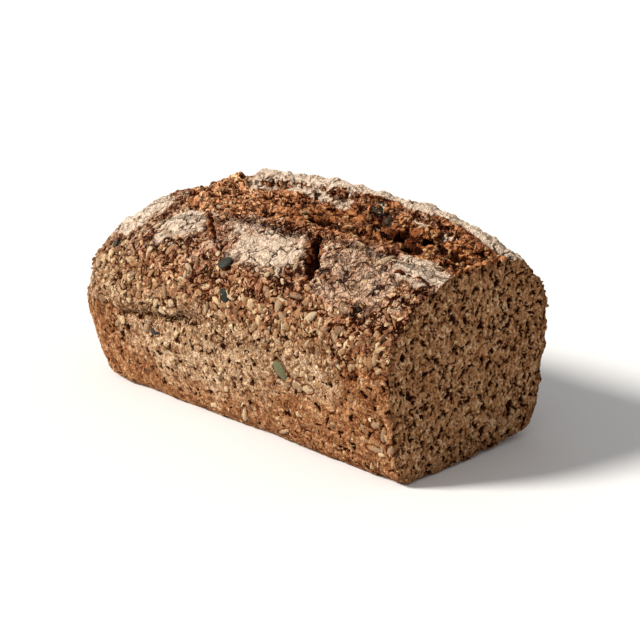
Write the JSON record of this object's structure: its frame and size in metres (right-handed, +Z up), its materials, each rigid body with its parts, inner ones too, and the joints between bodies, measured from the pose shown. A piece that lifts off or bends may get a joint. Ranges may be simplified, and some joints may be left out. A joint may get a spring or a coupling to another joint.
{
  "type": "tin loaf",
  "caption": "Wholegrain loaf baked in a tapered tin, with a domed floury crust torn open along the crown, seeds in the crust and one end sliced off to show a dense crumb.",
  "frame": {"origin": "middle of the loaf's bounding box in plan, at the level of the base", "axes": "+X along the loaf towards the cut face, +Y across it towards the side with the raised crust lip, +Z up"},
  "size_m": [0.248, 0.117, 0.1169],
  "materials": {
    "crust": "matte baked crust, rough and grainy, dusted with flour on the crown",
    "crumb": "matte, moist, open-pored wholegrain crumb",
    "seeds": "satin roasted kernels, grain flakes and bran"
  },
  "bodies": {
    "root": {"loaf": "crust"}
  },
  "joints": []
}
